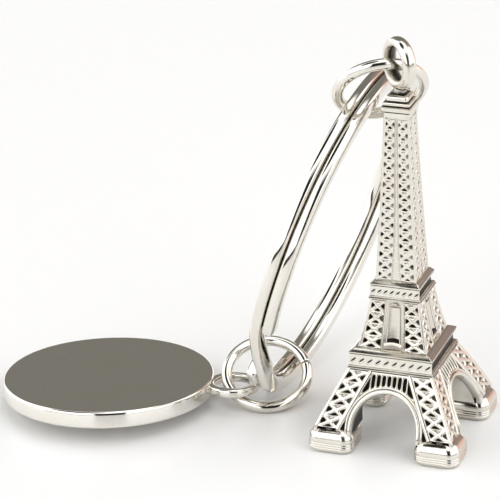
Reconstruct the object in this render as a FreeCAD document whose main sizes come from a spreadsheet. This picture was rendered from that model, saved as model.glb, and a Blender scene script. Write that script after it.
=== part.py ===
"""Lattice tower keychain: a cast tower charm and a round tag on one split ring.

Five separate pieces, all plated metal, linked in a chain:

    tower_charm      one casting: feet, arched base, two decks, shaft, collar and eye
    tower_jump_ring  round wire ring through the eye of the tower
    split_ring       flat wire wound in two turns, the part that holds the keys
    tag_jump_ring    round wire ring through the ear of the tag
    disc_tag         flat round tag with an ear

The tower stands on its feet, the split ring leans from the tower's jump ring down to the
surface, and the tag lies beside it.  Millimetres, +Z up, +X along the tower's front.
The origin is the centre of the whole object's footprint, on the surface it stands on.
"""
import FreeCAD
import Part
import Sketcher
import os

from FreeCAD import Placement, Rotation, Vector

doc = FreeCAD.newDocument("LatticeTowerKeychain")

# ---------------------------------------------------------------------------
# Driving dimensions
# ---------------------------------------------------------------------------
SIZES = [
    # alias, value, meaning
    ("tower_x", 16.806, "tower axis from the origin, along X"),
    ("tower_y", -5.404, "tower axis from the origin, along Y"),

    ("pad_inner", 3.05, "foot pad, near edge from the tower axis"),
    ("pad_outer", 7.60, "foot pad, far edge from the tower axis"),
    ("pad_top", 2.45, "foot pad height"),
    ("pad_round", 0.45, "rounding of the foot pads"),
    ("leg_low", 7.25, "half width of the legs where they leave the pads"),
    ("leg_high", 4.30, "half width of the legs under the first deck"),
    ("arch_radius", 3.25, "radius of the arches between the legs"),
    ("arch_centre", 2.85, "height of the arches' centre"),
    ("arch_rim", 0.62, "width of the raised rim round each arch"),

    ("deck_one_low", 7.85, "underside of the first deck"),
    ("deck_one_high", 9.85, "top of the first deck"),
    ("deck_one_half", 4.26, "half width of the first deck's band"),
    ("deck_two_low", 14.70, "underside of the second deck"),
    ("deck_two_high", 16.55, "top of the second deck"),
    ("deck_two_half", 2.56, "half width of the second deck's band"),
    ("deck_draw", 0.22, "how much a deck's band narrows towards its top"),
    ("cornice_high", 0.34, "height of a deck's cornices"),
    ("cornice_proud", 0.12, "how far a cornice stands out of its band"),

    ("panel_deep", 0.30, "depth of the lattice panels behind the corner rails"),
    ("rail_wide", 0.42, "width of a corner rail"),
    ("mid_low_half", 3.55, "half width of the middle stage at its foot"),
    ("mid_waist", 11.60, "height where the middle stage stops flaring"),
    ("mid_waist_half", 3.08, "half width of the middle stage at that height"),
    ("mid_high_half", 2.55, "half width of the middle stage at its top"),
    ("frame_low_half", 1.05, "half width of the middle stage's centre frame, foot"),
    ("frame_high_half", 0.80, "half width of the middle stage's centre frame, top"),

    ("shaft_low_half", 2.08, "half width of the shaft at the second deck"),
    ("shaft_mid", 24.70, "height where the shaft's taper eases"),
    ("shaft_mid_half", 1.64, "half width of the shaft at that height"),
    ("shaft_high", 33.00, "top of the lattice shaft"),
    ("shaft_high_half", 1.27, "half width of the shaft at its top"),
    ("rib_half", 0.24, "half width of the shaft's centre rib"),

    ("collar_low", 33.65, "underside of the collar"),
    ("collar_high", 34.60, "top of the collar"),
    ("collar_half", 1.48, "half width of the collar"),
    ("cap_high", 35.25, "top of the block on the collar"),
    ("cap_half", 1.16, "half width of the block on the collar"),
    ("neck_high", 35.95, "top of the neck below the eye"),
    ("neck_radius", 0.62, "radius of the neck below the eye"),

    ("eye_height", 38.15, "centre of the eye"),
    ("eye_radius", 2.05, "eye, centre line radius"),
    ("eye_wire", 0.55, "eye, radius of its section"),
    ("eye_heading", 45.0, "direction the eye's hole faces, from +X"),

    ("link_radius", 4.13, "tower jump ring, centre line radius"),
    ("link_wire", 0.56, "tower jump ring, wire radius"),
    ("link_gap", 1.6, "tower jump ring, angle of its cut"),
    ("link_x", -2.56, "tower jump ring, centre from the tower axis, along X"),
    ("link_y", 1.96, "tower jump ring, centre from the tower axis, along Y"),
    ("link_z", 34.61, "tower jump ring, height of its centre"),
    ("link_lean", 54.6, "tower jump ring, its axis from the vertical"),
    ("link_turn", 118.1, "tower jump ring, heading of its axis"),

    ("ring_outer", 17.70, "split ring, outer radius"),
    ("ring_inner", 15.70, "split ring, inner radius"),
    ("turn_wide", 1.20, "split ring, width of one turn"),
    ("turn_round", 0.46, "split ring, edge rounding of the wire"),
    ("end_gap", 0.25, "split ring, gap at each free end"),
    ("ring_x", -8.82, "split ring, centre from the tower axis, along X"),
    ("ring_y", 6.00, "split ring, centre from the tower axis, along Y"),
    ("ring_z", 18.02, "split ring, height of its centre"),
    ("ring_lean", 72.4, "split ring, its axis from the vertical"),
    ("ring_turn", 178.0, "split ring, heading of its axis"),

    ("tie_radius", 4.07, "tag jump ring, centre line radius"),
    ("tie_wire", 0.56, "tag jump ring, wire radius"),
    ("tie_gap", 2.2, "tag jump ring, angle of its cut"),
    ("tie_x", -15.17, "tag jump ring, centre from the tower axis, along X"),
    ("tie_y", 2.48, "tag jump ring, centre from the tower axis, along Y"),
    ("tie_z", 2.60, "tag jump ring, height of its centre"),
    ("tie_lean", 29.5, "tag jump ring, its axis from the vertical"),
    ("tie_turn", -70.3, "tag jump ring, heading of its axis"),

    ("disc_radius", 10.70, "tag, radius of the disc"),
    ("disc_thick", 1.80, "tag, thickness of the disc"),
    ("disc_round", 0.22, "tag, rounding of the rim"),
    ("ear_reach", 12.70, "tag, hole of the ear from the disc's centre"),
    ("ear_radius", 2.72, "tag, outer radius of the ear"),
    ("ear_hole", 1.82, "tag, radius of the ear's hole"),
    ("ear_thick", 0.90, "tag, thickness of the ear"),
    ("ear_round", 0.30, "tag, rounding of the ear's edges"),
    ("disc_x", -30.50, "tag, centre from the tower axis, along X"),
    ("disc_y", -2.19, "tag, centre from the tower axis, along Y"),
    ("disc_z", 1.83, "tag, height of its centre"),
    ("disc_lean", 4.94, "tag, its axis from the vertical"),
    ("disc_turn", 106.1, "tag, heading of its axis"),
    ("ear_heading", 10.7, "tag, heading of the ear"),
]

sheet = doc.addObject("Spreadsheet::Sheet", "Sizes")
for row, (alias, value, meaning) in enumerate(SIZES, start=1):
    sheet.set("A%d" % row, meaning)
    sheet.set("B%d" % row, str(value))
    sheet.setAlias("B%d" % row, alias)
doc.recompute()


def size(alias):
    """Value of a named cell, as a plain number."""
    return float(getattr(sheet, alias))


def bind(obj, **formulas):
    """Bind properties of obj to formulas over the sheet's names."""
    for prop, formula in formulas.items():
        words = formula.replace("(", " ( ").replace(")", " ) ").split()
        names = [row[0] for row in SIZES]
        bound = ["Sizes." + word if word in names else word for word in words]
        obj.setExpression(prop, " ".join(bound))


# ---------------------------------------------------------------------------
# Tower charm: a stack of square frusta with raised rails and ribs
# ---------------------------------------------------------------------------
def frustum(name, low, high, foot, top):
    """Four-sided frustum from height low to high.

    foot and top are (x from, x to, y from, y to) at the two heights, all formulas.
    A wedge grows along its own Y, so it is turned to stand up along Z.
    """
    wedge = doc.addObject("Part::Wedge", name)
    bind(
        wedge,
        Xmin=foot[0], Xmax=foot[1], Zmin=foot[2], Zmax=foot[3],
        X2min=top[0], X2max=top[1], Z2min=top[2], Z2max=top[3],
        Ymin=low, Ymax=high,
    )
    wedge.Placement = Placement(Vector(0, 0, 0), Rotation(Vector(1, 0, 0), 90))
    return wedge


def square(half):
    """Rectangle of a square centred on the tower's axis."""
    return ("-( " + half + " )", half, "-( " + half + " )", half)


def turned(source, name, angle):
    """Copy of a piece turned about the tower's axis, by a whole quarter turn."""
    copy = doc.addObject("Part::Feature", name)
    copy.Shape = source.Shape.copy()
    spin = Placement(Vector(0, 0, 0), Rotation(Vector(0, 0, 1), angle))
    copy.Placement = spin.multiply(source.Placement)
    return copy


stack = []


def stage(name, low, high, foot_half, top_half):
    piece = frustum(name, low, high, square(foot_half), square(top_half))
    stack.append(piece)
    return piece


def rails(name, low, high, foot_half, top_half, group=stack):
    """Raised corner rails of one tapering stage, one at each corner."""
    foot_in = foot_half + " - rail_wide"
    top_in = top_half + " - rail_wide"
    rail = frustum(
        name + "_rail", low, high,
        (foot_in, foot_half, foot_in, foot_half),
        (top_in, top_half, top_in, top_half),
    )
    doc.recompute()
    group.append(rail)
    for quarter in (1, 2, 3):
        group.append(turned(rail, "%s_rail_%d" % (name, quarter), 90 * quarter))


def ribs(name, low, high, foot_half, top_half, foot_wide, top_wide):
    """Raised centre rib of one tapering stage, one on each face."""
    rib = frustum(
        name + "_rib", low, high,
        ("-( " + foot_wide + " )", foot_wide, foot_half + " - 2 * panel_deep", foot_half),
        ("-( " + top_wide + " )", top_wide, top_half + " - 2 * panel_deep", top_half),
    )
    doc.recompute()
    stack.append(rib)
    for quarter in (1, 2, 3):
        stack.append(turned(rib, "%s_rib_%d" % (name, quarter), 90 * quarter))


# Foot pads, rounded blocks that the legs stand on
pad_block = doc.addObject("Part::Box", "PadBlock")
bind(
    pad_block,
    Length="pad_outer - pad_inner",
    Width="pad_outer - pad_inner",
    Height="pad_top",
)
pad = doc.addObject("Part::Fillet", "Pad")
pad.Base = pad_block
doc.recompute()
upright = []
crown = []
for number, edge in enumerate(pad_block.Shape.Edges, start=1):
    heights = [vertex.Z for vertex in edge.Vertexes]
    if abs(heights[0] - heights[1]) > 0.1:
        upright.append(number)
    elif min(heights) > 0.1:
        crown.append(number)
pad_round = size("pad_round")
pad.Edges = [(n, pad_round, pad_round) for n in upright + crown]
pad.Placement = Placement(Vector(size("pad_inner"), size("pad_inner"), 0), Rotation())
doc.recompute()
pads = [pad]
for quarter in (1, 2, 3):
    pads.append(turned(pad, "Pad_%d" % quarter, 90 * quarter))

# Splayed legs with an arch between each two, cut through both ways
# Each face is set back behind its corner rails and the rim of its arch
legs_outside = frustum(
    "LegsOutside", "pad_top - 0.4", "deck_one_low",
    square("leg_low"), square("leg_high"),
)
legs_core = frustum(
    "LegsCore", "pad_top - 0.4", "deck_one_low",
    square("leg_low - panel_deep"), square("leg_high - panel_deep"),
)


def barrel(name, radius):
    """Two round barrels that cross under the tower, along X and along Y."""
    along_x = doc.addObject("Part::Cylinder", name + "AlongX")
    bind(along_x, Radius=radius, Height="4 * leg_low")
    along_x.Placement = Placement(
        Vector(-2 * size("leg_low"), 0, size("arch_centre")), Rotation(Vector(0, 1, 0), 90)
    )
    along_y = doc.addObject("Part::Cylinder", name + "AlongY")
    bind(along_y, Radius=radius, Height="4 * leg_low")
    along_y.Placement = Placement(
        Vector(0, 2 * size("leg_low"), size("arch_centre")), Rotation(Vector(1, 0, 0), 90)
    )
    both = doc.addObject("Part::MultiFuse", name)
    both.Shapes = [along_x, along_y]
    return both


arch_rims = doc.addObject("Part::Common", "ArchRims")
arch_rims.Base = legs_outside
arch_rims.Tool = barrel("RimBarrels", "arch_radius + arch_rim")
leg_rails = []
rails("Legs", "pad_top - 0.4", "deck_one_low", "leg_low", "leg_high", leg_rails)
legs_block = doc.addObject("Part::MultiFuse", "LegsBlock")
legs_block.Shapes = [legs_core, arch_rims] + leg_rails
legs = doc.addObject("Part::Cut", "Legs")
legs.Base = legs_block
legs.Tool = barrel("Arches", "arch_radius")

# First deck: a band between two cornices, with a sloping ledge on top
stage(
    "DeckOneBand", "deck_one_low", "deck_one_high",
    "deck_one_half", "deck_one_half - deck_draw",
)
stage(
    "DeckOneFoot", "deck_one_low", "deck_one_low + cornice_high",
    "deck_one_half + cornice_proud", "deck_one_half + cornice_proud",
)
stage(
    "DeckOneCornice", "deck_one_high - cornice_high", "deck_one_high",
    "deck_one_half - deck_draw + cornice_proud", "deck_one_half - deck_draw",
)

# Middle stage: a short flare, then a straight taper, with a framed centre panel
stage(
    "MidFlareCore", "deck_one_high - 0.2", "mid_waist",
    "mid_low_half - panel_deep", "mid_waist_half - panel_deep",
)
stage(
    "MidCore", "mid_waist", "deck_two_low + 0.2",
    "mid_waist_half - panel_deep", "mid_high_half - panel_deep",
)
rails("MidFlare", "deck_one_high - 0.2", "mid_waist", "mid_low_half", "mid_waist_half")
rails("Mid", "mid_waist", "deck_two_low + 0.2", "mid_waist_half", "mid_high_half")
ribs(
    "MidFlareFrame", "deck_one_high - 0.2", "mid_waist",
    "mid_low_half", "mid_waist_half", "frame_low_half", "frame_low_half",
)
ribs(
    "MidFrame", "mid_waist", "deck_two_low + 0.2",
    "mid_waist_half", "mid_high_half", "frame_low_half", "frame_high_half",
)

# Second deck, the same at a smaller size
stage(
    "DeckTwoBand", "deck_two_low", "deck_two_high",
    "deck_two_half", "deck_two_half - deck_draw / 2",
)
stage(
    "DeckTwoFoot", "deck_two_low", "deck_two_low + cornice_high",
    "deck_two_half + cornice_proud", "deck_two_half + cornice_proud",
)
stage(
    "DeckTwoCornice", "deck_two_high - cornice_high", "deck_two_high",
    "deck_two_half - deck_draw / 2 + cornice_proud", "deck_two_half - deck_draw / 2",
)

# Shaft: a slender taper with corner rails and a centre rib on each face
stage(
    "ShaftLowCore", "deck_two_high - 0.2", "shaft_mid",
    "shaft_low_half - 0.6 * panel_deep", "shaft_mid_half - 0.6 * panel_deep",
)
stage(
    "ShaftHighCore", "shaft_mid", "shaft_high",
    "shaft_mid_half - 0.6 * panel_deep", "shaft_high_half - 0.6 * panel_deep",
)
rails("ShaftLow", "deck_two_high - 0.2", "shaft_mid", "shaft_low_half", "shaft_mid_half")
rails("ShaftHigh", "shaft_mid", "shaft_high", "shaft_mid_half", "shaft_high_half")
ribs(
    "ShaftLow", "deck_two_high - 0.2", "shaft_mid",
    "shaft_low_half", "shaft_mid_half", "rib_half * 2", "rib_half",
)
ribs(
    "ShaftHigh", "shaft_mid", "shaft_high",
    "shaft_mid_half", "shaft_high_half", "rib_half", "rib_half",
)

# Plain band, collar and cap block
stage(
    "ShaftBand", "shaft_high", "collar_low",
    "shaft_high_half", "shaft_high_half",
)
stage("Collar", "collar_low", "collar_high", "collar_half", "collar_half")
stage("Cap", "collar_high", "cap_high", "cap_half", "cap_half")

# Neck and eye, the eye standing on edge across the tower's corners
neck = doc.addObject("Part::Cylinder", "Neck")
bind(neck, Radius="neck_radius", Height="neck_high - cap_high + 0.2")
neck.Placement = Placement(Vector(0, 0, size("cap_high") - 0.2), Rotation())
eye = doc.addObject("Part::Torus", "Eye")
bind(eye, Radius1="eye_radius", Radius2="eye_wire")
facing = Rotation(Vector(0, 0, 1), size("eye_heading"))
eye.Placement = Placement(
    Vector(0, 0, size("eye_height")), facing.multiply(Rotation(Vector(0, 1, 0), 90))
)

tower = doc.addObject("Part::MultiFuse", "TowerCharm")
tower.Shapes = pads + [legs] + stack + [neck, eye]
tower.Refine = True
tower.Label = "tower_charm"
tower.Placement = Placement(Vector(size("tower_x"), size("tower_y"), 0), Rotation())


# ---------------------------------------------------------------------------
# Rings
# ---------------------------------------------------------------------------
def seat(obj, prefix, spin):
    """Put a round piece in place: centre, lean of its axis, heading, own spin."""
    centre = Vector(
        size("tower_x") + size(prefix + "_x"),
        size("tower_y") + size(prefix + "_y"),
        size(prefix + "_z"),
    )
    turn = Rotation(Vector(0, 0, 1), size(prefix + "_turn"))
    lean = Rotation(Vector(0, 1, 0), size(prefix + "_lean"))
    own = Rotation(Vector(0, 0, 1), spin)
    obj.Placement = Placement(centre, turn.multiply(lean).multiply(own))


def jump_ring(name, label, prefix, spin):
    """Round wire bent to a ring, its two ends a hair apart."""
    ring = doc.addObject("Part::Torus", name)
    bind(
        ring,
        Radius1=prefix + "_radius",
        Radius2=prefix + "_wire",
        Angle3="360 - " + prefix + "_gap",
    )
    ring.Label = label
    seat(ring, prefix, spin)
    return ring


link = jump_ring("TowerJumpRing", "tower_jump_ring", "link", 60)
tie = jump_ring("TagJumpRing", "tag_jump_ring", "tie", 105)


def ring_turn(name, lift):
    """One turn of the split ring: a flat band with rounded edges."""
    outer = doc.addObject("Part::Cylinder", name + "Outer")
    bind(outer, Radius="ring_outer", Height="turn_wide")
    inner = doc.addObject("Part::Cylinder", name + "Inner")
    bind(inner, Radius="ring_inner", Height="turn_wide")
    band = doc.addObject("Part::Cut", name + "Band")
    band.Base = outer
    band.Tool = inner
    doc.recompute()
    rounded = doc.addObject("Part::Fillet", name)
    rounded.Base = band
    circles = [
        number
        for number, edge in enumerate(band.Shape.Edges, start=1)
        if edge.Curve.TypeId == "Part::GeomCircle"
    ]
    radius = size("turn_round")
    rounded.Edges = [(number, radius, radius) for number in circles]
    rounded.Placement = Placement(Vector(0, 0, lift), Rotation())
    return rounded


def end_notch(name, heading, lift):
    """Gap at a free end of the wire, through one turn only."""
    notch = doc.addObject("Part::Box", name)
    bind(notch, Length="ring_outer - ring_inner + 1", Width="end_gap", Height="turn_wide")
    reach = Vector(size("ring_inner") - 0.5, 0, lift)
    about = Rotation(Vector(0, 0, 1), heading)
    notch.Placement = Placement(about.multVec(reach), about)
    return notch


inner_turn = ring_turn("InnerTurn", -size("turn_wide"))
outer_turn = ring_turn("OuterTurn", 0)
coil = doc.addObject("Part::MultiFuse", "Coil")
coil.Shapes = [inner_turn, outer_turn]
notches = doc.addObject("Part::MultiFuse", "Notches")
notches.Shapes = [
    end_notch("InnerEnd", 73, -size("turn_wide")),
    end_notch("OuterEnd", 52, 0),
]
split_ring = doc.addObject("Part::Cut", "SplitRing")
split_ring.Base = coil
split_ring.Tool = notches
split_ring.Label = "split_ring"
seat(split_ring, "ring", 0)


# ---------------------------------------------------------------------------
# Tag: a flat disc with a thinner ear
# ---------------------------------------------------------------------------
def plane_of(body, role):
    """One of a body's own origin planes."""
    for feature in body.Origin.OriginFeatures:
        if feature.Role == role:
            return feature
    raise RuntimeError("no plane " + role)


def circle_sketch(body, name, radius, reach):
    """Sketch of one circle on the body's XY plane, its centre at reach along X."""
    sketch = body.newObject("Sketcher::SketchObject", name)
    sketch.AttachmentSupport = (plane_of(body, "XY_Plane"), [""])
    sketch.MapMode = "FlatFace"
    centre = Vector(size(reach) if reach else 0, 0, 0)
    sketch.addGeometry(Part.Circle(centre, Vector(0, 0, 1), size(radius)), False)
    at = sketch.addConstraint(Sketcher.Constraint("Radius", 0, size(radius)))
    sketch.setExpression("Constraints[%d]" % at, "Sizes." + radius)
    sketch.addConstraint(Sketcher.Constraint("PointOnObject", 0, 3, -1))
    if reach:
        at = sketch.addConstraint(
            Sketcher.Constraint("DistanceX", -1, 1, 0, 3, size(reach))
        )
        sketch.setExpression("Constraints[%d]" % at, "Sizes." + reach)
    else:
        sketch.addConstraint(Sketcher.Constraint("PointOnObject", 0, 3, -2))
    return sketch


def pad_both_ways(body, name, sketch, thickness):
    """Pad a sketch by half the thickness to each side."""
    pad_feature = body.newObject("PartDesign::Pad", name)
    pad_feature.Profile = sketch
    pad_feature.Midplane = True
    pad_feature.setExpression("Length", "Sizes." + thickness)
    return pad_feature


disc = doc.addObject("PartDesign::Body", "DiscTag")
disc.Label = "disc_tag"
pad_both_ways(disc, "DiscPad", circle_sketch(disc, "DiscRim", "disc_radius", None), "disc_thick")
pad_both_ways(disc, "EarPad", circle_sketch(disc, "EarRim", "ear_radius", "ear_reach"), "ear_thick")
ear_bore = disc.newObject("PartDesign::Pocket", "EarHole")
ear_bore.Profile = circle_sketch(disc, "EarBore", "ear_hole", "ear_reach")
ear_bore.Midplane = True
ear_bore.Type = 1
doc.recompute()


def edges_at(shape, test):
    """Names of the edges whose every point passes the test."""
    found = []
    for number, edge in enumerate(shape.Edges, start=1):
        points = edge.discretize(9)
        if all(test(point) for point in points):
            found.append("Edge%d" % number)
    return found


def ear_distance(point):
    return Vector(point.x - size("ear_reach"), point.y, 0).Length


def on_ear_edge(point):
    """Rounded edges of the ear: round its hole and round its outside."""
    level = abs(abs(point.z) - size("ear_thick") / 2) < 1e-4
    away = ear_distance(point)
    hole = abs(away - size("ear_hole")) < 1e-3
    outside = abs(away - size("ear_radius")) < 1e-3
    return level and (hole or outside)


def on_rim_edge(point):
    level = abs(abs(point.z) - size("disc_thick") / 2) < 1e-4
    return level and abs(Vector(point.x, point.y, 0).Length - size("disc_radius")) < 1e-3


rim_round = disc.newObject("PartDesign::Fillet", "RimRound")
rim_round.Base = (ear_bore, edges_at(ear_bore.Shape, on_rim_edge))
rim_round.setExpression("Radius", "Sizes.disc_round")
doc.recompute()
ear_soft = disc.newObject("PartDesign::Fillet", "EarRound")
ear_soft.Base = (rim_round, edges_at(rim_round.Shape, on_ear_edge))
ear_soft.setExpression("Radius", "Sizes.ear_round")
disc.Tip = ear_soft
seat(disc, "disc", size("ear_heading") - size("disc_turn"))

# ---------------------------------------------------------------------------
# Check and write
# ---------------------------------------------------------------------------
doc.recompute()
for obj in doc.Objects:
    if "Invalid" in obj.State or "Error" in obj.State:
        raise RuntimeError("%s failed: %s" % (obj.Label, obj.State))

os.makedirs("parts", exist_ok=True)
for node in (tower, link, split_ring, tie, disc):
    shape = node.Shape
    if shape.isNull() or not shape.isValid() or shape.Volume <= 0:
        raise RuntimeError(node.Label + " has no valid solid")
    if len(shape.Solids) != 1:
        raise RuntimeError("%s has %d solids" % (node.Label, len(shape.Solids)))
    shape.exportStep("parts/%s.step" % node.Label)
    box = shape.BoundBox
    print(
        "%-16s %8.1f mm3  x %6.2f..%6.2f  y %6.2f..%6.2f  z %6.2f..%6.2f"
        % (node.Label, shape.Volume, box.XMin, box.XMax, box.YMin, box.YMax, box.ZMin, box.ZMax)
    )
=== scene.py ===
"""Looks of a lattice tower keychain: cast tower, split ring, two jump rings and a round tag.

Everything is in metres in the CAD frame, +Z up.  Shapes are worked out in millimetres and
scaled once, when a piece is built.
"""

import math
import random

import bpy
from mathutils import Matrix, Vector


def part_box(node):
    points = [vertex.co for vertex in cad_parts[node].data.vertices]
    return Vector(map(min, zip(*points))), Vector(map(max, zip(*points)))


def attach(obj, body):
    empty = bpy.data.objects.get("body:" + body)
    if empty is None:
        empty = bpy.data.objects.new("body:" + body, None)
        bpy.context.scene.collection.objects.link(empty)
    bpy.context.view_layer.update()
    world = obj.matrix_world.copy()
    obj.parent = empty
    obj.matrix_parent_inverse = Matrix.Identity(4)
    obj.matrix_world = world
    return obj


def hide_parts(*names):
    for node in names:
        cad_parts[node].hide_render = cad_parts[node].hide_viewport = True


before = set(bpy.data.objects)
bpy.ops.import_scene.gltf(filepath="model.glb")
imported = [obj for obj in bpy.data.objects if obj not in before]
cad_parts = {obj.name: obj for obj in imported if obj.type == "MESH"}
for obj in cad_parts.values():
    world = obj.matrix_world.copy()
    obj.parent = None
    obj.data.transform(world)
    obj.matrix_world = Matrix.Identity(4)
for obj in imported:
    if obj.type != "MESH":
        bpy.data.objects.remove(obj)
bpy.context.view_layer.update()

MM = 0.001
SEED = 11
chance = random.Random(SEED)

# ---------------------------------------------------------------------------------------
# Camera
# ---------------------------------------------------------------------------------------
lens = bpy.data.cameras.new("camera")
lens.lens = 216.0
lens.sensor_width = 36.0
lens.clip_start = 1.0 * MM
lens.clip_end = 50.0
camera = bpy.data.objects.new("camera", lens)
camera.location = (0.096853, -0.257206, 0.135083)
camera.rotation_euler = [math.radians(a) for a in (66.348, 1.858, 19.986)]
bpy.context.collection.objects.link(camera)
bpy.context.scene.camera = camera
bpy.context.scene.view_settings.view_transform = "Standard"


# ---------------------------------------------------------------------------------------
# Mesh helpers, in millimetres
# ---------------------------------------------------------------------------------------
class Form:
    """Points and faces of one piece, with the painted shade of each point (0 to 1), mostly heavier
    the deeper it lies in the relief.
    """

    def __init__(self):
        self.points, self.faces, self.painted_shades = [], [], []

    def add(self, points, faces, painted_shades=None):
        """Adds points, and faces that number those points from 0."""
        start = len(self.points)
        self.points += [Vector(p) for p in points]
        self.faces += [[start + i for i in face] for face in faces]
        self.painted_shades += list(painted_shades) if painted_shades else [0.0] * len(points)

    def loft(self, loops, caps=(True, True), painted_shade=0.0, painted_shades=None):
        """Skin over equal closed loops, the first one lowest. The painted shade is given as one
        number per loop.
        """
        n = len(loops[0])
        faces = [
            [j * n + i, j * n + (i + 1) % n, (j + 1) * n + (i + 1) % n, (j + 1) * n + i]
            for j in range(len(loops) - 1)
            for i in range(n)
        ]
        if caps[0]:
            faces.append(list(range(n))[::-1])
        if caps[1]:
            faces.append([(len(loops) - 1) * n + i for i in range(n)])
        points = [p for loop in loops for p in loop]
        painted_shades = painted_shades or [painted_shade] * len(loops)
        self.add(points, faces, [d for d in painted_shades for _ in range(n)])

    def sheet(self, rows, painted_shades=None):
        """Skin over equal open rows of points. The painted shade is given as one number per point.
        """
        n = len(rows[0])
        faces = [
            [j * n + i, j * n + i + 1, (j + 1) * n + i + 1, (j + 1) * n + i]
            for j in range(len(rows) - 1)
            for i in range(n - 1)
        ]
        flat = [d for row in painted_shades for d in row] if painted_shades else None
        self.add([p for row in rows for p in row], faces, flat)

    def quarters(self):
        """Adds the three copies turned about the tower's axis."""
        points, faces, painted_shades = list(self.points), list(self.faces), list(self.painted_shades)
        for k in (1, 2, 3):
            turn = Matrix.Rotation(math.radians(90 * k), 4, "Z")
            self.add([turn @ p for p in points], faces, painted_shades)
        return self


def piece(name, form, material, body, place=None, sharp=40.0, node=None):
    """Builds a form as a smooth-shaded mesh that rides on a body.

    Material goes in its one material slot, sharp is the angle of edges left sharp, and node is the
    CAD node that it replaces.
    """
    place = place or Matrix.Identity(4)
    mesh = bpy.data.meshes.new(name)
    mesh.from_pydata([(place @ p) * MM for p in form.points], [], form.faces)
    # per-point amount of painted shade, which the materials turn into darker colour
    layer = mesh.attributes.new("painted_shade", "FLOAT", "POINT")
    layer.data.foreach_set("value", form.painted_shades)
    mesh.materials.append(material)
    mesh.validate()
    mesh.shade_smooth()
    mesh.set_sharp_from_angle(angle=math.radians(sharp))
    obj = bpy.data.objects.new(name, mesh)
    bpy.context.collection.objects.link(obj)
    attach(obj, body)
    if node:
        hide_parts(node)


def corner_loop(half, z, radius, steps=4, centre=(0.0, 0.0)):
    """A square loop with rounded corners, anticlockwise from above, steps per corner."""
    loop = []
    for k, (sx, sy) in enumerate(((1, 1), (-1, 1), (-1, -1), (1, -1))):
        for j in range(steps + 1):
            a = math.radians(90 * k + 90 * j / steps)
            loop.append(
                Vector((
                    centre[0] + sx * (half - radius) + radius * math.cos(a),
                    centre[1] + sy * (half - radius) + radius * math.sin(a),
                    z,
                ))
            )
    return loop


def block(form, levels, steps=4, centre=(0.0, 0.0), painted_shade=0.0):
    """A lofted square block. Levels are (height, half width, corner radius[, painted shade])."""
    form.loft([corner_loop(level[1], level[0], level[2], steps, centre) for level in levels],
              painted_shades=[level[3] if len(level) > 3 else painted_shade for level in levels])


def through(*stops):
    """The polynomial through (height, width) stops, as a function of height."""
    def width(z):
        total = 0.0
        for i, (zi, wi) in enumerate(stops):
            term = wi
            for j, (zj, _) in enumerate(stops):
                if i != j:
                    term *= (z - zj) / (zi - zj)
            total += term
        return total
    return width


class Face:
    """The front face of a tower stage. Points are (across, height, height of relief)."""

    def __init__(self, width):
        self.width = width

    STEP = 0.01

    def at(self, s, z, h=0.0):
        slope = (self.width(z + self.STEP) - self.width(z - self.STEP)) / 0.02
        out = Vector((0.0, -1.0, -slope)).normalized()
        return Vector((s, -self.width(z), z)) + out * h


def bar(form, face, path, wide, high, low):
    """A raised bar with a rounded back along a path of (across, height) points."""
    shoulder = high - 0.35 * (high - low)
    profile = [(-1.0, low), (-0.97, shoulder), (-0.62, high - 0.02), (0.0, high),
               (0.62, high - 0.02), (0.97, shoulder), (1.0, low)]
    rows = []
    count = len(path)
    for i, (s, z) in enumerate(path):
        a = Vector(path[max(i - 1, 0)])
        b = Vector(path[min(i + 1, count - 1)])
        along = (b - a).normalized()
        side = Vector((along.y, -along.x))
        rows.append([
            face.at(s + side.x * u * wide / 2, z + side.y * u * wide / 2, h) for u, h in profile
        ])
    # painted shade along the foot of the bar, where it meets the ground
    painted_shades = [[0.8 if h == low else 0.0 for _, h in profile] for _ in rows]
    form.sheet([row[::-1] for row in rows], [d[::-1] for d in painted_shades])
    n = len(profile)
    form.add(rows[0], [list(range(n))[::-1]], painted_shades[0])
    form.add(rows[-1], [list(range(n))], painted_shades[-1])


def spread(corners, per_edge):
    """Points along the edges of a polygon, the corners among them."""
    out = []
    for i, a in enumerate(corners):
        b = corners[(i + 1) % len(corners)]
        out += [a.lerp(b, j / per_edge) for j in range(per_edge)]
    return out


def shrunk(corners, gaps, per_edge, pull=0.22):
    """The same number of points on the polygon inset by a gap per edge, corners rounded."""
    n = len(corners)
    inner = []
    for i in range(n):
        a, b, c = corners[i - 1], corners[i], corners[(i + 1) % n]
        u, v = (b - a).normalized(), (c - b).normalized()
        nu, nv = Vector((-u.y, u.x)), Vector((-v.y, v.x))
        gu, gv = gaps[i - 1], gaps[i]
        det = nu.x * nv.y - nu.y * nv.x
        inner.append(b + Vector(((gu * nv.y - gv * nu.y) / det, (nu.x * gv - nv.x * gu) / det)))
    middle = sum(inner, Vector((0.0, 0.0))) / n
    out = []
    for i, a in enumerate(inner):
        b = inner[(i + 1) % n]
        for j in range(per_edge):
            f = j / per_edge
            p = a.lerp(b, f)
            out.append(p.lerp(middle, pull * abs(2 * f - 1) ** 2.5))
    return out


# rings of an opening: how far from outline to hole, from hole to middle, down, and painted shade
LIP = ((0.0, 0.0, 0.0, 0.0), (0.40, 0.0, 0.03, 0.0), (0.72, 0.0, 0.13, 0.03),
       (0.92, 0.0, 0.33, 0.22), (1.0, 0.05, 0.62, 0.62), (1.0, 0.28, 0.95, 1.0))


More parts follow.
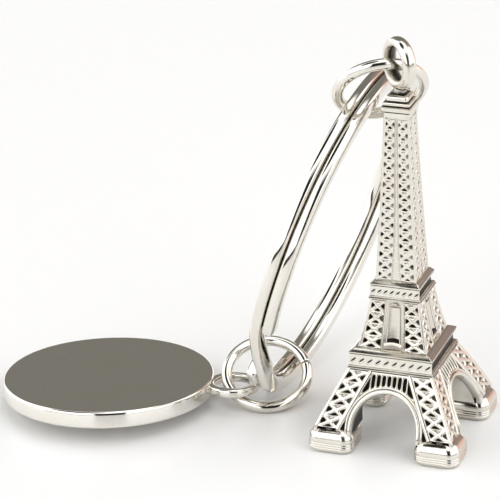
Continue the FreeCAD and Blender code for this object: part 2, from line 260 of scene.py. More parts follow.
def opening(form, face, outline, hole, high, deep, floor_shade=1.0, wander=0.0):
    """One sunken opening of the relief: a rounded lip from the outline down to its floor, with
    painted shade that is darkest on the floor.

    High and deep are the heights of the lip and the floor, and the next number scales the painted
    shade of the floor. Wander makes the opening a little smaller, shallower, lighter in painted
    shade and off its place by chance.
    """
    n = len(outline)
    middle = sum(hole, Vector((0.0, 0.0))) / n
    if wander:
        part = 1.0 - wander * chance.random()
        shift = Vector((chance.uniform(-1, 1), chance.uniform(-1, 1))) * wander * 0.12
        hole = [middle + (p - middle) * part + shift * (p - middle).length for p in hole]
        deep = high - (high - deep) * (1.0 - 0.8 * wander * chance.random())
        floor_shade *= 1.0 - wander * chance.random()
    drop = high - deep
    points, painted_shades = [], []
    for f, closer, fall, painted_shade in LIP:
        for a, b in zip(outline, hole):
            p = a.lerp(b, f).lerp(middle, closer)
            points.append(face.at(p.x, p.y, high - fall * drop))
            painted_shades.append(painted_shade * floor_shade)
    points.append(face.at(middle.x, middle.y, deep))
    painted_shades.append(floor_shade)
    faces = [
        [j * n + i, j * n + (i + 1) % n, (j + 1) * n + (i + 1) % n, (j + 1) * n + i]
        for j in range(len(LIP) - 1)
        for i in range(n)
    ]
    last = (len(LIP) - 1) * n
    faces += [[last + i, last + (i + 1) % n, last + n] for i in range(n)]
    form.add(points, faces, painted_shades)


def lattice(form, face, left, right, low, high, count, bar_half, top, deep, side_gap=0.05,
            shallow=0.45, dark=1.0, wander=0.3):
    """A column of crossed bars between two edges, which are functions of height.

    Each of the count cells has four three-cornered openings. The upper one is shallow: its
    floor lies only the given part of the way down from top to deep.
    """
    for i in range(count):
        z0 = low + (high - low) * i / count
        z1 = low + (high - low) * (i + 1) / count
        a, b = Vector((left(z0), z0)), Vector((right(z0), z0))
        c, d = Vector((right(z1), z1)), Vector((left(z1), z1))
        wide_low, wide_high = b.x - a.x, c.x - d.x
        x = a.lerp(c, wide_low / (wide_low + wide_high))
        for k, tri in enumerate(((a, b, x), (b, c, x), (c, d, x), (d, a, x))):
            rim = side_gap if k in (1, 3) else bar_half * 0.45
            gaps = (rim, bar_half, bar_half)
            floor = deep if k != 2 else top - shallow * (top - deep)
            # painted shade in each opening: full below and on the left, a little less on the
            # right, least in the shallow upper one
            painted_shade = (dark, 0.8 * dark, 0.35 * dark, dark)[k]
            opening(form, face, spread(tri, 3), shrunk(tri, gaps, 3), top, floor, painted_shade, wander)


def rail(form, width, low, high, wide, steps=14, radius=0.07):
    """One corner rail of a stage, at its front right corner, as seen from above."""
    loops = []
    for j in range(steps + 1):
        z = low + (high - low) * j / steps
        at = width(z) - wide / 2
        loops.append(corner_loop(wide / 2, z, radius, 2, (at, -at)))
    form.loft(loops)


def straight(a, b):
    """Across as a function of height on the line through two (across, height) points."""
    return lambda z: a[0] + (b[0] - a[0]) * (z - a[1]) / (b[1] - a[1])


# ---------------------------------------------------------------------------------------
# Materials
# ---------------------------------------------------------------------------------------
RECESS_ROUGHNESS = 0.22


def plating(name, tint, dark, rough, rough_swing, grain_mm, grain_depth, swell_depth):
    """Nickel plating over metal: tint and gloss that wander, a fine grain, shade painted into
    recesses.

    Dark is the colour of the painted shade in the deepest recesses. The grain's size is in
    millimetres, and so are the bump heights of the grain and of the broad swell under it.
    """
    material = bpy.data.materials.new(name)
    material.use_nodes = True
    tree = material.node_tree
    tree.nodes.clear()
    new = tree.nodes.new
    link = tree.links.new
    out = new("ShaderNodeOutputMaterial")
    shader = new("ShaderNodeBsdfPrincipled")
    shader.inputs["Metallic"].default_value = 1.0
    link(shader.outputs["BSDF"], out.inputs["Surface"])
    where = new("ShaderNodeTexCoord")

    def noise(scale_mm, detail, rough_noise=0.5):
        node = new("ShaderNodeTexNoise")
        node.inputs["Scale"].default_value = 1.0 / (scale_mm * MM)
        node.inputs["Detail"].default_value = detail
        node.inputs["Roughness"].default_value = rough_noise
        link(where.outputs["Object"], node.inputs["Vector"])
        return node

    def ranged(source, low, high, to_low, to_high):
        node = new("ShaderNodeMapRange")
        for key, value in (("From Min", low), ("From Max", high), ("To Min", to_low),
                           ("To Max", to_high)):
            node.inputs[key].default_value = value
        link(source, node.inputs["Value"])
        return node.outputs["Result"]

    def mixed(factor, a, b):
        node = new("ShaderNodeMix")
        node.data_type = "RGBA"
        link(factor, node.inputs[0])
        for socket, value in ((node.inputs[6], a), (node.inputs[7], b)):
            if isinstance(value, tuple):
                socket.default_value = (*value, 1.0)
            else:
                link(value, socket)
        return node.outputs[2]

    # colour: warm clouds, small dull spots, painted shade in recesses
    cloud = noise(3.2, 3.0)
    mottle = noise(0.35, 4.0)
    warm = tuple(c * k for c, k in zip(tint, (1.0, 0.975, 0.94)))
    tone = mixed(ranged(cloud.outputs["Fac"], 0.35, 0.65, 0.0, 1.0), tint, warm)
    dull = tuple(0.86 * c for c in tint)
    tone = mixed(ranged(mottle.outputs["Fac"], 0.52, 0.78, 0.0, 0.55), tone, dull)
    painted_shade = new("ShaderNodeAttribute")
    painted_shade.attribute_name = "painted_shade"
    shade_mask = ranged(painted_shade.outputs["Fac"], 0.08, 0.72, 0.0, 1.0)
    tone = mixed(shade_mask, tone, dark)
    link(tone, shader.inputs["Base Color"])

    # gloss: scuffs, and duller recesses
    scuff = noise(0.9, 5.0, 0.6)
    gloss = ranged(scuff.outputs["Fac"], 0.3, 0.7, rough, rough + rough_swing)
    duller = new("ShaderNodeMath")
    duller.operation = "MULTIPLY_ADD"
    duller.inputs[1].default_value = RECESS_ROUGHNESS
    link(shade_mask, duller.inputs[0])
    link(gloss, duller.inputs[2])
    link(duller.outputs["Value"], shader.inputs["Roughness"])

    # bump: a fine grain over a broad swell
    grain = noise(grain_mm, 3.0)
    fine = new("ShaderNodeBump")
    fine.inputs["Strength"].default_value = 1.0
    fine.inputs["Distance"].default_value = grain_depth * MM
    link(grain.outputs["Fac"], fine.inputs["Height"])
    swell = noise(1.7, 1.0)
    broad = new("ShaderNodeBump")
    broad.inputs["Strength"].default_value = 1.0
    broad.inputs["Distance"].default_value = swell_depth * MM
    link(swell.outputs["Fac"], broad.inputs["Height"])
    link(broad.outputs["Normal"], fine.inputs["Normal"])
    link(fine.outputs["Normal"], shader.inputs["Normal"])
    return material


# the darkest colour of each finish is the painted shade of its recesses
cast = plating("cast_nickel", (0.73, 0.705, 0.65), (0.014, 0.012, 0.010), 0.10, 0.10, 0.12,
               0.004, 0.012)
wire = plating("wire_nickel", (0.75, 0.73, 0.685), (0.04, 0.035, 0.03), 0.05, 0.06, 0.10,
               0.0006, 0.004)
polish = plating("polished_nickel", (0.78, 0.765, 0.725), (0.04, 0.035, 0.03), 0.035, 0.03,
                 0.25, 0.0003, 0.0015)

# ---------------------------------------------------------------------------------------
# Tower
# ---------------------------------------------------------------------------------------
charm_low, charm_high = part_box("tower_charm")
TOWER = Matrix.Translation(
    Vector(((charm_low.x + charm_high.x) / 2, (charm_low.y + charm_high.y) / 2, 0.0)) / MM)
PAD_IN, PAD_OUT, PAD_TOP = 3.05, 7.60, 2.45
LEG_FOOT, LEG_TOP = PAD_TOP - 0.5, 7.85
ARCH_R, ARCH_Z = 3.25, 2.85
GROUND = -0.34  # height of the plain ground behind the relief of the base
leg_curve = through((PAD_TOP, 6.98), (5.2, 5.72), (LEG_TOP, 4.30))
mid_width = through((9.85, 3.50), (11.6, 3.06), (14.70, 2.52))
shaft_width = through((16.55, 2.05), (24.7, 1.63), (33.0, 1.26))


def leg_width(z):
    """Half the base's width; its feet go straight down into the pads."""
    return leg_curve(max(z, 2.35))


def pads():
    """The four foot pads, with rounded tops and three fine lines round each."""
    form = Form()
    at = (PAD_IN + PAD_OUT) / 2
    half = (PAD_OUT - PAD_IN) / 2
    levels = [(0.0, half - 0.42, 0.86), (0.05, half - 0.26, 0.98), (0.16, half - 0.13, 1.08),
              (0.32, half - 0.04, 1.13)]
    # painted shade in the three fine lines round each pad
    for z in (0.56, 0.80, 1.04):
        levels += [(z - 0.06, half, 1.15), (z, half - 0.05, 1.12, 0.25), (z + 0.06, half, 1.15)]
    for k in range(13):
        a = math.radians(90 * k / 12)
        levels.append((1.28 + 1.17 * math.sin(a), half - 1.25 * (1 - math.cos(a)),
                       1.15 - 0.60 * (1 - math.cos(a))))
    block(form, levels, 10, (at, -at))
    return form.quarters()


def arch_point(t, out=0.0):
    """A point on the arch's edge line: t runs 0 to 1 from the left foot to the right foot."""
    radius = ARCH_R + out
    foot = ARCH_Z - PAD_TOP + 0.50
    arc = math.pi * ARCH_R
    along = t * (arc + 2 * foot)
    if along < foot:
        return Vector((-radius, ARCH_Z - foot + along))
    if along > foot + arc:
        return Vector((radius, ARCH_Z - (along - foot - arc)))
    a = math.pi - (along - foot) / ARCH_R
    return Vector((radius * math.cos(a), ARCH_Z + radius * math.sin(a)))


def base():
    """The four legs and arches under the first deck."""
    form = Form()
    face = Face(leg_width)
    steps = 44
    ts = [i / steps for i in range(steps + 1)]
    # plain ground of the face, behind the relief, between the arch and the leg's outline, painted
    # with shade
    rows = []
    for t in ts:
        inner = arch_point(t)
        if t < 0.30:
            z = LEG_FOOT + (LEG_TOP - PAD_TOP + 0.5) * t / 0.30
            outer = Vector((-leg_width(z) + 0.1, z))
        elif t > 0.70:
            z = LEG_FOOT + (LEG_TOP - PAD_TOP + 0.5) * (1 - t) / 0.30
            outer = Vector((leg_width(z) - 0.1, z))
        else:
            outer = Vector((4.25 * (t - 0.5) / 0.2, LEG_TOP))
        rows.append([face.at(*outer.lerp(inner, j / 3), GROUND) for j in range(4)])
    form.sheet(rows, [[0.9] * 4 for _ in rows])
    # rim of the arch in section, (out, height, painted shade): a rounded inner edge, a groove with
    # painted shade in it and a thin outer line
    section = [(-0.02, -0.80, 0.5), (-0.02, -0.20, 0.15), (0.03, -0.05, 0.0), (0.12, 0.0, 0.0),
               (0.30, 0.0, 0.0), (0.37, -0.05, 0.0), (0.41, -0.14, 0.75), (0.45, -0.05, 0.0),
               (0.52, -0.02, 0.0), (0.60, -0.03, 0.0), (0.66, -0.12, 0.2), (0.68, GROUND, 0.9)]
    rows = []
    for t in ts:
        rows.append([face.at(*arch_point(t, out), h) for out, h, _ in section])
    form.sheet([r[::-1] for r in rows[::-1]], [[d for _, _, d in section][::-1]] * len(rows))
    # soffit, back to the line where the two arches cross, with painted shade that is heavier on
    # the left
    rows = []
    for t in ts:
        p = arch_point(t, -0.02)
        front = face.at(p.x, p.y, -0.6)
        rows.append([
            Vector((p.x, front.y + (-abs(p.x) - front.y) * f, p.y)) for f in
            (0.0, 0.25, 0.5, 0.75, 1.0)
        ])
    left_shade = [max(0.0, min(1.0, (0.42 - t) / 0.14)) for t in ts]
    form.sheet(rows, [[0.02 + 0.55 * k, 0.05 + 0.80 * k, 0.12 + 0.8 * k, 0.2 + 0.7 * k,
                       0.25 + 0.7 * k] for k in left_shade])
    # the legs' edges and lattice
    rail(form, leg_width, LEG_FOOT, 7.95, 0.34)
    outer_edge = lambda z: leg_width(z) - 0.30
    inner_edge = straight((4.80, 2.6), (2.18, LEG_TOP))
    for side in (-1, 1):
        if side > 0:
            left, right = inner_edge, outer_edge
        else:
            left, right = (lambda z: -outer_edge(z)), (lambda z: -inner_edge(z))
        lattice(form, face, left, right, PAD_TOP + 0.12, 7.78, 5, 0.165, -0.02, -0.38, 0.03, 0.5,
                1.0, 0.2)
        # plain inner edge of the leg, a broad smooth rail
        path = [(side * (inner_edge(z) - 0.22), z)
                for z in [PAD_TOP + 0.05 + 5.35 * i / 8 for i in range(9)]]
        bar(form, face, path, 0.52, 0.02, GROUND)
    # tall openings over the crown, and a pointed one on each side of them
    crown_top = 7.80
    pitch = 0.53
    for i in range(7):
        s0 = -3.5 * pitch + i * pitch
        s1 = s0 + pitch
        lows = [ARCH_Z + math.sqrt((ARCH_R + 0.60) ** 2 - s * s) for s in (s0, s1)]
        corners = [Vector((s0, lows[0])), Vector((s1, lows[1])), Vector((s1, crown_top)),
                   Vector((s0, crown_top))]
        opening(form, face, spread(corners, 4),
                shrunk(corners, (0.08, 0.10, 0.20, 0.10), 4, 0.16), -0.04, GROUND)
    for side in (-1, 1):
        corners = [Vector((side * 1.86, 6.26)), Vector((side * 2.70, 5.74)),
                   Vector((side * 2.62, 6.45)), Vector((side * 1.93, crown_top)),
                   Vector((side * 1.86, crown_top))]
        if side < 0:
            corners.reverse()
        opening(form, face, spread(corners, 3), shrunk(corners, (0.06,) * 5, 3, 0.12), -0.04,
                GROUND)
    return form.quarters()


def deck(z0, z1, half, stage_low, stage_high, dashes):
    """A deck from height z0 to z1: its cornices all round, its band on the front only.

    The band has a row of slanting cuts, with painted shade in them. On the other three sides the
    core shows, painted dark as shade. Half is the deck's half width, and stage_low and stage_high
    are those of the stages under and over it.
    """
    form = Form()
    r = 0.10
    # cornices all round, with painted shade in their grooves
    block(form, [
        (z0 - 0.16, stage_low - 0.10, r), (z0 - 0.03, half - 0.10, r), (z0 + 0.02, half + 0.03, r),
        (z0 + 0.08, half + 0.08, r), (z0 + 0.15, half + 0.08, r), (z0 + 0.20, half + 0.02, r),
        (z0 + 0.24, half - 0.05, r, 0.6), (z0 + 0.28, half + 0.01, r), (z0 + 0.36, half + 0.01, r),
        (z0 + 0.41, half - 0.06, r), (z0 + 0.46, half - 0.16, r), (z0 + 0.47, half - 0.30, r),
    ])
    top = half - 0.16
    block(form, [
        (z1 - 0.60, top - 0.20, r), (z1 - 0.59, top - 0.04, r), (z1 - 0.54, top + 0.05, r),
        (z1 - 0.47, top + 0.06, r), (z1 - 0.43, top - 0.02, r, 0.7), (z1 - 0.39, top + 0.07, r),
        (z1 - 0.33, top + 0.11, r), (z1 - 0.24, top + 0.11, r), (z1 - 0.19, top + 0.05, r),
        (z1 - 0.12, top - 0.06, r), (z1, (top + stage_high) / 2 + 0.04, r),
        (z1 + 0.12, stage_high + 0.02, r), (z1 + 0.16, stage_high - 0.3, r),
    ])
    low, high = z0 + 0.40, z1 - 0.52
    width = straight((half - 0.06, low), (half - 0.14, high))
    face = Face(width)
    # core of the band, painted dark as shade
    block(form, [(low, half - 0.30, r), (high, half - 0.38, r)], painted_shade=0.8)
    span = width(low) - 0.02
    pitch = 2 * span / dashes
    lean = 0.30 * pitch
    for i in range(dashes):
        s = -span + i * pitch
        corners = [Vector((s, low)), Vector((s + pitch, low)), Vector((s + pitch, high)),
                   Vector((s, high))]
        outline = spread(corners, 4)
        mid = Vector((s + pitch / 2, (low + high) / 2))
        across = Vector((pitch * 0.31, lean * 0.9)) * 0.95
        narrow = Vector((-across.y, across.x)).normalized() * 0.055
        hole = []
        for k in range(16):
            a = 2 * math.pi * k / 16 - math.radians(135)
            hole.append(mid + across * math.cos(a - 0.4) + narrow * math.sin(a - 0.4))
        opening(form, face, outline, hole, 0.0, -0.14, 0.9)
    return form


def middle():
    """The stage between the decks: lattice, a framed panel and a curled lip on each side."""
    form = Form()
    face = Face(mid_width)
    rail(form, mid_width, 9.80, 14.75, 0.26)
    frame_half = straight((1.14, 9.85), (0.86, 14.6))
    outer_edge = lambda z: mid_width(z) - 0.22
    for side in (-1, 1):
        if side > 0:
            left, right = (lambda z: frame_half(z) + 0.10), outer_edge
        else:
            left, right = (lambda z: -outer_edge(z)), (lambda z: -frame_half(z) - 0.10)
        lattice(form, face, left, right, 9.95, 14.62, 4, 0.15, -0.02, -0.34, 0.04, 0.5, 1.0, 0.3)
        path = [(side * frame_half(z), z) for z in [9.9 + 4.75 * i / 8 for i in range(9)]]
        bar(form, face, path, 0.17, 0.02, -0.2)
        path = [(side * 0.60 * frame_half(z), z) for z in [10.6 + 3.5 * i / 8 for i in range(9)]]
        bar(form, face, path, 0.11, 0.0, -0.2)
    # smooth inner panel, dished between its edges, with painted shade: dark at its foot, light
    # over the rest
    rows, painted_shades = [], []
    for i in range(13):
        z = 10.45 + 3.65 * i / 12
        half = 0.60 * frame_half(z)
        rows.append([face.at(u * half, z, -0.10 - 0.10 * (1 - u * u))
                     for u in (-1, -0.75, -0.5, -0.25, 0, 0.25, 0.5, 0.75, 1)])
        painted_shades.append([0.9 if i == 0 else 0.35 if i == 1 else 0.12] * 9)
    form.sheet(rows, painted_shades)
    # curled lip at the panel's foot, with a strip of painted shade over it for the hollow
    lip = [(-0.86 + 1.72 * i / 10, 10.36 + 0.20 * math.sin(math.pi * i / 10)) for i in range(11)]
    bar(form, face, lip, 0.40, 0.08, -0.25)
    hollow_shade = [(s, z + 0.26) for s, z in lip[1:-1]]
    rows = [[face.at(s, z + 0.17 * u + 0.06, -0.03 - 0.02 * u) for u in (-1, 1)]
            for s, z in hollow_shade]
    form.sheet([row[::-1] for row in rows], [[1.0, 1.0] for _ in rows])
    # the panel's upper edge, the crest over it, and the ground behind them, with light painted
    # shade on the ground
    bar(form, face, [(-0.60, 14.05), (0.60, 14.05)], 0.11, 0.0, -0.2)
    crest = [(-0.36, 14.25), (-0.12, 14.42), (0.12, 14.42), (0.36, 14.25)]
    bar(form, face, crest, 0.13, 0.0, -0.2)
    rows = [[face.at(u * (frame_half(z) + 0.1), z, h) for u, h in
             ((-1, -0.10), (-0.8, -0.09), (-0.5, -0.16), (0, -0.24), (0.5, -0.16), (0.8, -0.09),
              (1, -0.10))] for z in (9.8, 10.2, 12.0, 13.8, 14.75)]
    form.sheet(rows, [[0.3, 0.1, 0.3, 0.3, 0.3, 0.1, 0.3] for _ in rows])
    form.quarters()
    # the core behind the relief, painted dark as shade
    core = [corner_loop(mid_width(z) - 0.34, z, 0.05) for z in (9.7, 10.7, 11.6, 13.0, 14.8)]
    form.loft(core, painted_shade=0.9)
    return form


rib_curve = through((16.5, 0.46), (21.0, 0.20), (33.0, 0.11))


def rib_half(z):
    """Half the width of the shaft's middle rib: curved below, then straight."""
    if z < 21:
        return max(rib_curve(z), 0.11)
    return 0.11 + 0.09 * (33.0 - z) / 12.0


def shaft():
    """The lattice shaft, with a rib up the middle of each side."""
    form = Form()
    face = Face(shaft_width)
    rail(form, shaft_width, 16.45, 33.5, 0.20, 18, 0.05)
    inner = lambda z: rib_half(z) + 0.02
    outer = lambda z: shaft_width(z) - 0.17
    for side in (-1, 1):
        if side > 0:
            left, right = inner, outer
        else:
            left, right = (lambda z: -outer(z)), (lambda z: -inner(z))
        lattice(form, face, left, right, 16.7, 32.9, 16, 0.125, -0.03, -0.22, 0.06, 0.35, 0.9,
                0.4)
        path = [(side * (rib_half(z) - 0.045), z)
                for z in [16.6 + 16.5 * i / 24 for i in range(25)]]
        bar(form, face, path, 0.11, 0.01, -0.15)
    # the rib's floor, with light painted shade, and the slanting steps at its foot
    rows = [[face.at(u * rib_half(z), z, -0.08) for u in (-1, 0, 1)]
            for z in [16.5 + 16.6 * i / 24 for i in range(25)]]
    form.sheet(rows, [[0.1] * 3 for _ in rows])
    for i in range(9):
        z = 16.95 + 0.52 * i
        half = rib_half(z) - 0.06
        bar(form, face, [(-half, z - 0.10), (half, z + 0.10)], 0.16, 0.0, -0.12)
    form.quarters()
    # the core behind the lattice, painted dark as shade
    form.loft([corner_loop(shaft_width(z) - 0.23, z, 0.04)
               for z in (16.4, 19.0, 22.0, 25.0, 29.0, 33.1)], painted_shade=0.9)
    return form


def head():
    """The shaft's collar, two slabs, the cap and the round stem under the eye, with shade painted
    under each overhang and at the stem's foot.
    """
    form = Form()
    block(form, [
        (32.85, 1.05, 0.1), (32.90, 1.20, 0.1), (32.98, 1.245, 0.1), (33.30, 1.235, 0.1),
        (33.52, 1.23, 0.1), (33.56, 1.18, 0.1, 0.5), (33.60, 1.04, 0.1, 1.0),
    ])
    block(form, [
        (33.58, 1.06, 0.1, 1.0), (33.67, 1.34, 0.12, 0.7), (33.70, 1.43, 0.14),
        (33.80, 1.47, 0.15), (34.02, 1.475, 0.15), (34.12, 1.45, 0.15), (34.17, 1.36, 0.14, 0.5),
        (34.18, 1.12, 0.1, 1.0),
    ])
    block(form, [
        (34.16, 1.02, 0.1, 1.0), (34.27, 1.24, 0.14, 0.8), (34.31, 1.33, 0.16),
        (34.42, 1.35, 0.18), (34.54, 1.30, 0.18), (34.58, 1.14, 0.16, 0.4),
        (34.60, 0.85, 0.12, 1.0),
    ])
    block(form, [
        (34.56, 0.82, 0.2, 1.0), (34.65, 1.00, 0.24, 0.7), (34.72, 1.10, 0.28),
        (34.95, 1.13, 0.32), (35.10, 1.06, 0.34), (35.20, 0.92, 0.34, 0.2),
        (35.25, 0.72, 0.30, 0.9),
    ], 6)
    stem = ((35.10, 0.86, 0.9), (35.22, 0.80, 0.9), (35.34, 0.70, 0.7), (35.55, 0.63, 0.3),
            (35.80, 0.66, 0.1), (36.05, 0.66, 0.0), (36.25, 0.50, 0.0))
    loops = []
    for z, r, _ in stem:
        loops.append([Vector((r * math.cos(2 * math.pi * i / 32),
                              r * math.sin(2 * math.pi * i / 32), z)) for i in range(32)])
    form.loft(loops, painted_shades=[d for _, _, d in stem])
    return form


def cut_ring(radius, wire_r, gap_deg, spin_deg, offset, steps=160, around=20):
    """A ring of round wire in its own XY plane, cut once, its ends a little out of line."""
    form = Form()
    start = math.radians(spin_deg + gap_deg / 2)
    sweep = math.radians(360.0 - gap_deg)
    # the cut ends are rounded: (angle from the end, part of the wire's radius)
    ends = [(0.0, 0.62), (0.0, 0.86), (0.010, 0.96), (0.03, 1.0)]
    stations = list(ends)
    stations += [(0.03 + (sweep - 0.06) * i / steps, 1.0) for i in range(1, steps)]
    stations += [(sweep - w, r) for w, r in reversed(ends)]
    loops = []
    for along, scale in stations:
        a = start + along
        shift = offset * (along / sweep - 0.5) ** 3 * 4.0
        loop = []
        for k in range(around):
            b = 2 * math.pi * k / around
            r = wire_r * scale
            reach = radius + r * math.cos(b)
            loop.append(
                Vector((reach * math.cos(a), reach * math.sin(a), r * math.sin(b) + shift)))
        loops.append(loop)
    form.loft([loop[::-1] for loop in loops])
    return form


def whole_ring(form, radius, wire_r, place, swell, broad, steps=96, around=24):
    """A closed cast ring in its own XY plane, broader than thick, with shade painted on the inside
    of its hole.
    """
    points, faces = [], []
    for i in range(steps):
        a = 2 * math.pi * i / steps
        for k in range(around):
            b = 2 * math.pi * k / around
            r = wire_r * swell(a)
            reach = radius + r * math.cos(b)
            points.append(place @ Vector((reach * math.cos(a), reach * math.sin(a),
                                          r * broad * math.sin(b))))
    for i in range(steps):
        for k in range(around):
            i2, k2 = (i + 1) % steps, (k + 1) % around
            faces.append([i * around + k, i2 * around + k, i2 * around + k2, i * around + k2])
    hole_shade = [0.62 * max(0.0, -math.cos(2 * math.pi * k / around)) ** 1.5 for k in range(around)]
    form.add(points, faces, hole_shade * steps)


def eye():
    """The eye on top of the tower, its hole's axis at 45 degrees to the tower's sides."""
    form = Form()
    place = (Matrix.Translation((0, 0, 38.15)) @ Matrix.Rotation(math.radians(45), 4, "Z")
             @ Matrix.Rotation(math.radians(90), 4, "Y"))
    # local -X points down after the turn about Y, where the eye grows out of the neck
    def swell(a):
        down = max(0.0, math.cos(a)) ** 6
        return 0.985 + 0.10 * down
    whole_ring(form, 2.05, 0.55, place, swell, 1.28)
    return form


def tower_piece(name, form, sharp, node=None):
    """A piece of the tower's casting."""
    piece(name, form, cast, "tower_charm", TOWER, sharp, node)


tower_piece("foot_pads", pads(), 50, "tower_charm")
tower_piece("arched_base", base(), 50)
tower_piece("first_deck", deck(LEG_TOP, 9.85, 4.26, 4.28, 3.50, 10), 40)
tower_piece("middle_stage", middle(), 50)
tower_piece("second_deck", deck(14.70, 16.55, 2.56, 2.52, 2.05, 8), 40)
tower_piece("lattice_shaft", shaft(), 50)
tower_piece("collar_and_neck", head(), 40)
tower_piece("tower_eye", eye(), 40)


# ---------------------------------------------------------------------------------------
# Rings and tag
# ---------------------------------------------------------------------------------------
def seat(x, y, z, lean, turn):
    """Where a ring lies: its centre from the tower's axis, its lean and the lean's heading."""
    return (TOWER @ Matrix.Translation((x, y, z)) @ Matrix.Rotation(math.radians(turn), 4, "Z")
            @ Matrix.Rotation(math.radians(lean), 4, "Y"))


LINK = seat(-2.56, 1.96, 34.61, 54.6, 118.1)
SPLIT = seat(-8.82, 6.00, 18.02, 72.4, 178.0)
TIE = seat(-15.17, 2.48, 2.60, 29.5, -70.3)
DISC = seat(-30.50, -2.19, 1.83, 4.94, 106.1)

WIRE_R = 0.555
piece("upper_jump_ring", cut_ring(4.13, WIRE_R, 1.6, 60.0, 0.05), wire, "tower_jump_ring",
      LINK, 60, "tower_jump_ring")
piece("lower_jump_ring", cut_ring(4.07, WIRE_R, 2.2, 105.0, 0.06), wire, "tag_jump_ring",
      TIE, 60, "tag_jump_ring")


def coil():
    """The split ring's flat wire: two turns, side by side, with a jog where it changes side."""
    form = Form()
    start_deg, turns_deg, jog_deg = 75.5, 694.0, 27.0
    outer, inner, wide = 17.66, 15.74, 1.16
    half_r, half_z = (outer - inner) / 2, wide / 2
    middle_r = (outer + inner) / 2
    # section between an ellipse (power 1) and a rectangle (power 0)
    power = 0.62
    section = []
    for k in range(32):
        a = 2 * math.pi * k / 32
        c, t = math.cos(a), math.sin(a)
        section.append((math.copysign(abs(c) ** power, c) * half_r,
                        math.copysign(abs(t) ** power, t) * half_z))
    # the cut ends are rounded: (degrees from the start, part of the section's size)
    steps = int(turns_deg / 2)
    stations = [(0.0, 0.70), (0.0, 0.90), (0.25, 0.98)]
    stations += [(0.6 + (turns_deg - 1.2) * i / steps, 1.0) for i in range(steps + 1)]
    stations += [(turns_deg - 0.25, 0.98), (turns_deg, 0.90), (turns_deg, 0.70)]
    loops = []
    for along, scale in stations:
        a = math.radians(start_deg + along)
        change = min(1.0, max(0.0, (along - turns_deg / 2) / jog_deg + 0.5))
        change = change * change * (3 - 2 * change)
        side = -0.602 + 1.204 * change
        loops.append([
            Vector(((middle_r + u * scale) * math.cos(a), (middle_r + u * scale) * math.sin(a),
                    side + v * scale)) for u, v in section
        ])
    form.loft([loop[::-1] for loop in loops])
    return form


piece("split_ring_coil", coil(), wire, "split_ring", SPLIT, 60, "split_ring")


def tag():
    """The round tag with its ear."""
    form = Form()
    radius, half, rim = 10.70, 0.90, 0.36
    steps = 200
    levels = []
    for j in range(6):
        a = math.radians(90 * j / 5)
        levels.append((radius - rim + rim * math.sin(a), -half + rim - rim * math.cos(a)))
    levels.append((radius, 0.0))
    levels += [(r, -z) for r, z in reversed(levels[:6])]
    loops = [[Vector((r * math.cos(2 * math.pi * i / steps), r * math.sin(2 * math.pi * i / steps),
                      z)) for i in range(steps)] for r, z in
             [(radius - 0.8, -half)] + levels + [(radius - 0.8, half)]]
    form.loft(loops)
    # ear: a flat ring with rounded edges, grown into the rim
    reach, ear_r, hole_r, thin = 12.70, 2.72, 1.82, 0.45
    heading = math.radians(10.7 - 106.1)
    centre = Vector((reach * math.cos(heading), reach * math.sin(heading), 0.10))
    mid, half_w, soft = (ear_r + hole_r) / 2, (ear_r - hole_r) / 2, 0.28
    section = []
    for k, (sx, sz) in enumerate(((1, 1), (-1, 1), (-1, -1), (1, -1))):
        for j in range(5):
            a = math.radians(90 * k + 90 * j / 4)
            section.append((sx * (half_w - soft) + soft * math.cos(a),
                            sz * (thin - soft) + soft * math.sin(a)))
    n = len(section)
    points, faces = [], []
    count = 96
    for i in range(count):
        a = 2 * math.pi * i / count
        for u, v in section:
            points.append(centre + Vector(((mid + u) * math.cos(a), (mid + u) * math.sin(a), v)))
    for i in range(count):
        for k in range(n):
            i2, k2 = (i + 1) % count, (k + 1) % n
            faces.append([i * n + k, i2 * n + k, i2 * n + k2, i * n + k2])
    form.add(points, faces)
    return form


piece("round_tag", tag(), polish, "disc_tag", DISC, 35, "disc_tag")

# ---------------------------------------------------------------------------------------
# Floor and light
# ---------------------------------------------------------------------------------------
SIDE = 4.0
DROP = 1e-5  # keeps the floor just under the feet
mesh = bpy.data.meshes.new("floor")
mesh.from_pydata([(-SIDE, -SIDE, -DROP), (SIDE, -SIDE, -DROP), (SIDE, SIDE, -DROP),
                  (-SIDE, SIDE, -DROP)], [], [(0, 1, 2, 3)])
floor = bpy.data.objects.new("floor", mesh)
bpy.context.collection.objects.link(floor)
paper = bpy.data.materials.new("pale_floor")
paper.use_nodes = True
shader = paper.node_tree.nodes["Principled BSDF"]
shader.inputs["Base Color"].default_value = (0.97, 0.97, 0.97, 1.0)
shader.inputs["Roughness"].default_value = 0.28
shader.inputs["Specular IOR Level"].default_value = 0.45
mesh.materials.append(paper)

world = bpy.data.worlds.new("studio")
bpy.context.scene.world = world
world.use_nodes = True
tree = world.node_tree
tree.nodes.clear()
sky = tree.nodes.new("ShaderNodeTexCoord")


def node(kind, operation, *values):
    """A math node of the surroundings, its inputs numbers or sockets."""
    made = tree.nodes.new(kind)
    made.operation = operation
    for socket, value in zip(made.inputs, values):
        if isinstance(value, bpy.types.NodeSocket):
            tree.links.new(value, socket)
        else:
            socket.default_value = value
    return made.outputs["Value"]


def math_node(operation, *values):
    return node("ShaderNodeMath", operation, *values)


def rise(value, low, high):
    """Smoothly 0 to 1 as the value goes from low to high; high may be the smaller one."""
    soft = tree.nodes.new("ShaderNodeMapRange")
    soft.interpolation_type = "SMOOTHSTEP"
    soft.inputs["From Min"].default_value = min(low, high)
    soft.inputs["From Max"].default_value = max(low, high)
    soft.inputs["To Min"].default_value = 0.0 if low < high else 1.0
    soft.inputs["To Max"].default_value = 1.0 if low < high else 0.0
    tree.links.new(value, soft.inputs["Value"])
    return soft.outputs["Result"]


def along(direction):
    """How nearly a direction of the surroundings points this way."""
    return node("ShaderNodeVectorMath", "DOT_PRODUCT", sky.outputs["Generated"],
                Vector(direction).normalized())


def patch(direction, inner, outer):
    """A round patch of the surroundings, soft between two angles from its middle."""
    return rise(along(direction), math.cos(math.radians(outer)), math.cos(math.radians(inner)))


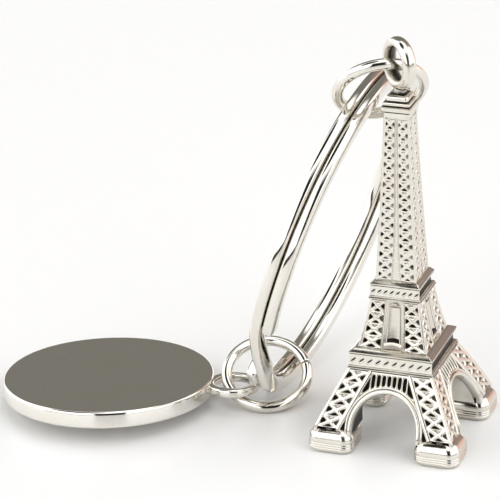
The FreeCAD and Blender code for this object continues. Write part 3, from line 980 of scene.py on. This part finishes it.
def both(*factors):
    """The product of several factors."""
    product = factors[0]
    for factor in factors[1:]:
        product = math_node("MULTIPLY", product, factor)
    return product


up, back, right = along((0, 0, 1)), along((0, 1, 0)), along((1, 0, 0))
front_right = along((0.45, -0.89, 0.0))
to_camera, aside = along((0.40, -0.92, 0.0)), along((0.92, 0.40, 0.0))
SOFT_WHITE = (1.78, 1.78, 1.77)
# areas of the surroundings that differ from soft white, each (factor, colour)
patches = [
    # warm wall beyond the right side
    (patch((0.52, 0.85, 0.04), 9, 26), (1.08, 0.68, 0.55)),
    # grey screen behind
    (both(rise(back, 0.16, 0.34), rise(up, 0.10, 0.15), rise(up, 0.93, 0.85),
          rise(right, 0.52, 0.36), rise(right, -0.86, -0.70)), (0.235, 0.228, 0.205)),
    # rosy end of the screen, low on the right
    (patch((0.27, 0.86, 0.43), 10, 20), (0.38, 0.30, 0.275)),
    # dark opening overhead
    (patch((-0.31, -0.14, 0.94), 17, 20), (0.03, 0.028, 0.025)),
    # dark room beyond the front edge of the table
    (both(rise(up, -0.03, 0.005), rise(up, 0.11, 0.08), rise(front_right, 0.10, 0.35)),
     (0.012, 0.010, 0.010)),
    # upright dark strip behind the camera
    (both(rise(up, -0.03, 0.005), rise(up, 0.90, 0.72), rise(to_camera, 0.05, 0.12),
          rise(aside, -0.30, -0.24), rise(aside, 0.30, 0.24)), (0.03, 0.027, 0.026)),
]
tone = None
for factor, colour in patches:
    mix = tree.nodes.new("ShaderNodeMix")
    mix.data_type = "RGBA"
    tree.links.new(factor, mix.inputs[0])
    if tone is None:
        mix.inputs[6].default_value = (*SOFT_WHITE, 1.0)
    else:
        tree.links.new(tone, mix.inputs[6])
    mix.inputs[7].default_value = (*colour, 1.0)
    tone = mix.outputs[2]
ground = tree.nodes.new("ShaderNodeBackground")
tree.links.new(tone, ground.inputs["Color"])
ground.inputs["Strength"].default_value = 1.0
final = tree.nodes.new("ShaderNodeOutputWorld")
tree.links.new(ground.outputs["Background"], final.inputs["Surface"])
